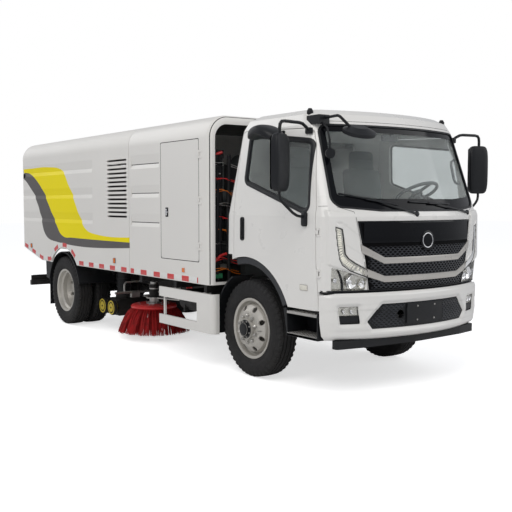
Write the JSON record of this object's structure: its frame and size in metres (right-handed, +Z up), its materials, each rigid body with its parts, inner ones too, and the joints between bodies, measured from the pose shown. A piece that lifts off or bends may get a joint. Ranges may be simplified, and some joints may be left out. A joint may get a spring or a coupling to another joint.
{
  "type": "street sweeper truck",
  "caption": "Forward-control street sweeper truck with tipping dust hopper, engine housing, two side brushes, suction nozzle, opening doors and steering front wheels.",
  "frame": {"origin": "on the ground under the middle of the truck, half way along, on the centre plane", "axes": "+X forward, +Y to the truck's left, +Z up"},
  "size_m": [7.5559, 2.9322, 2.686],
  "materials": {
    "white_paint": "gloss",
    "chassis_black": "satin",
    "engine_grey": "satin",
    "gear_red": "gloss",
    "steel": "brushed",
    "rod_chrome": "polished",
    "wheel_silver": "satin",
    "tyre": "matte",
    "black_plastic": "matte",
    "gloss_black": "gloss",
    "silver_trim": "satin",
    "lamp": "gloss",
    "glass": "clear",
    "interior": "matte",
    "bristle": "matte",
    "rubber": "matte"
  },
  "bodies": {
    "chassis": {"chassis_frame": "chassis_black", "frame_cross_members": "chassis_black", "engine_block": "engine_grey", "front_axle_beam": "chassis_black", "rear_axle": "chassis_black", "leaf_springs": "chassis_black", "chassis_tanks": "chassis_black", "front_bumper": "white_paint", "bumper_inserts": "black_plastic", "chassis_lamps": "lamp", "mudguards": "black_plastic", "cab_steps": "black_plastic", "side_guards": "white_paint", "rear_underrun_bar": "chassis_black", "front_housing": "white_paint", "auxiliary_engine": "engine_grey", "suction_nozzle": "chassis_black", "suction_pipes": "black_plastic", "spray_pipes": "steel", "brush_brackets": "gear_red"},
    "cab": {"cab_shell": "white_paint", "cab_glass": "glass", "grille_panel": "gloss_black", "grille_bars": "silver_trim", "headlamps": "lamp", "cab_interior": "interior", "cab_fittings": "black_plastic", "arch_flares": "black_plastic"},
    "left_door": {"door_left": "white_paint", "door_glass_left": "glass", "mirror_left": "black_plastic"},
    "right_door": {"door_right": "white_paint", "door_glass_right": "glass", "mirror_right": "black_plastic"},
    "left_service_door": {"service_door_left": "white_paint"},
    "right_service_door": {"service_door_right": "white_paint"},
    "hopper": {"hopper_shell": "white_paint"},
    "rear_gate": {"tailgate": "white_paint"},
    "barrel": {"hoist_barrel": "chassis_black"},
    "rod": {"hoist_rod": "rod_chrome"},
    "left_front_wheel": {"rim_front_left": "wheel_silver", "tyre_front_left": "tyre"},
    "right_front_wheel": {"rim_front_right": "wheel_silver", "tyre_front_right": "tyre"},
    "left_rear_wheels": {"rims_rear_left": "wheel_silver", "tyres_rear_left": "tyre"},
    "right_rear_wheels": {"rims_rear_right": "wheel_silver", "tyres_rear_right": "tyre"},
    "left_knuckle": {"knuckle_left": "chassis_black"},
    "right_knuckle": {"knuckle_right": "chassis_black"},
    "tie": {"track_rod": "chassis_black"},
    "left_brush_arm": {"brush_arm_left": "steel"},
    "right_brush_arm": {"brush_arm_right": "steel"},
    "left_brush": {"side_brush_left": "bristle"},
    "right_brush": {"side_brush_right": "bristle"},
    "left_rear_guide_wheel": {"guide_wheel_rear_left": "rubber"},
    "left_front_guide_wheel": {"guide_wheel_front_left": "rubber"},
    "right_rear_guide_wheel": {"guide_wheel_rear_right": "rubber"},
    "right_front_guide_wheel": {"guide_wheel_front_right": "rubber"}
  },
  "joints": [
    {"name": "steer_left", "type": "hinge", "parent": "chassis", "child": "left_knuckle", "pos_m": [2.34, 0.745, 0.495], "axis": [0, 0, 1], "range_deg": [-35, 35]},
    {"name": "front_wheel_spin_left", "type": "hinge", "parent": "left_knuckle", "child": "left_front_wheel", "pos_m": [2.34, 0.9, 0.495], "axis": [0, 1, 0], "continuous": true},
    {"name": "rear_wheels_spin_left", "type": "hinge", "parent": "chassis", "child": "left_rear_wheels", "pos_m": [-2.16, 0.85, 0.495], "axis": [0, 1, 0], "continuous": true},
    {"name": "cab_door_left", "type": "hinge", "parent": "cab", "child": "left_door", "pos_m": [3.436, 1.068, 1.3], "axis": [0, 0, -1], "range_deg": [0, 70]},
    {"name": "service_door_left", "type": "hinge", "parent": "chassis", "child": "left_service_door", "pos_m": [1.608, 1.162, 1.8], "axis": [0, 0, -1], "range_deg": [0, 110]},
    {"name": "brush_arm_swing_left", "type": "hinge", "parent": "chassis", "child": "left_brush_arm", "pos_m": [0.17, 0.45, 0.52], "axis": [0, 0, -1], "range_deg": [0, 30]},
    {"name": "brush_spin_left", "type": "hinge", "parent": "left_brush_arm", "child": "left_brush", "pos_m": [-0.37, 0.62, 0.42], "axis": [0, 0, 1], "continuous": true},
    {"name": "guide_wheel_spin_rear_left", "type": "hinge", "parent": "chassis", "child": "left_rear_guide_wheel", "pos_m": [-1.39, 0.85, 0.33], "axis": [0, 1, 0], "continuous": true},
    {"name": "guide_wheel_spin_front_left", "type": "hinge", "parent": "chassis", "child": "left_front_guide_wheel", "pos_m": [-1.12, 0.85, 0.33], "axis": [0, 1, 0], "continuous": true},
    {"name": "steer_right", "type": "hinge", "parent": "chassis", "child": "right_knuckle", "pos_m": [2.34, -0.745, 0.495], "axis": [0, 0, 1], "range_deg": [-35, 35]},
    {"name": "front_wheel_spin_right", "type": "hinge", "parent": "right_knuckle", "child": "right_front_wheel", "pos_m": [2.34, -0.9, 0.495], "axis": [0, 1, 0], "continuous": true},
    {"name": "rear_wheels_spin_right", "type": "hinge", "parent": "chassis", "child": "right_rear_wheels", "pos_m": [-2.16, -0.85, 0.495], "axis": [0, 1, 0], "continuous": true},
    {"name": "cab_door_right", "type": "hinge", "parent": "cab", "child": "right_door", "pos_m": [3.436, -1.068, 1.3], "axis": [0, 0, 1], "range_deg": [0, 70]},
    {"name": "service_door_right", "type": "hinge", "parent": "chassis", "child": "right_service_door", "pos_m": [1.608, -1.162, 1.8], "axis": [0, 0, 1], "range_deg": [0, 110]},
    {"name": "brush_arm_swing_right", "type": "hinge", "parent": "chassis", "child": "right_brush_arm", "pos_m": [0.17, -0.45, 0.52], "axis": [0, 0, 1], "range_deg": [0, 30]},
    {"name": "brush_spin_right", "type": "hinge", "parent": "right_brush_arm", "child": "right_brush", "pos_m": [-0.37, -0.62, 0.42], "axis": [0, 0, 1], "continuous": true},
    {"name": "guide_wheel_spin_rear_right", "type": "hinge", "parent": "chassis", "child": "right_rear_guide_wheel", "pos_m": [-1.39, -0.85, 0.33], "axis": [0, 1, 0], "continuous": true},
    {"name": "guide_wheel_spin_front_right", "type": "hinge", "parent": "chassis", "child": "right_front_guide_wheel", "pos_m": [-1.12, -0.85, 0.33], "axis": [0, 1, 0], "continuous": true},
    {"name": "track_rod_shift", "type": "slide", "parent": "chassis", "child": "tie", "axis": [0, 1, 0], "range_m": [-0.115, 0.115]},
    {"name": "cab_tilt", "type": "hinge", "parent": "chassis", "child": "cab", "pos_m": [3.48, 0, 1.12], "axis": [0, 1, 0], "range_deg": [0, 45]},
    {"name": "hopper_tip", "type": "hinge", "parent": "chassis", "child": "hopper", "pos_m": [-3.3, 0, 0.99], "axis": [0, -1, 0], "range_deg": [0, 45]},
    {"name": "tailgate_lift", "type": "hinge", "parent": "hopper", "child": "rear_gate", "pos_m": [-3.755, 0, 2.47], "axis": [0, 1, 0], "range_deg": [0, 80]},
    {"name": "hoist_lean", "type": "hinge", "parent": "chassis", "child": "barrel", "pos_m": [-0.65, 0, 0.74], "axis": [0, 1, 0], "range_deg": [0, 23]},
    {"name": "hoist_reach", "type": "slide", "parent": "barrel", "child": "rod", "axis": [-0.9792, 0, 0.2031], "range_m": [0, 0.74]}
  ],
  "couplings": [
    {"joint": "steer_right", "follows": "steer_left", "ratio": 1},
    {"joint": "track_rod_shift", "follows": "steer_left", "m_per_rad": -0.18},
    {"joint": "hoist_lean", "follows": "hopper_tip", "ratio": 0.4996},
    {"joint": "hoist_reach", "follows": "hopper_tip", "m_per_rad": 0.941}
  ]
}
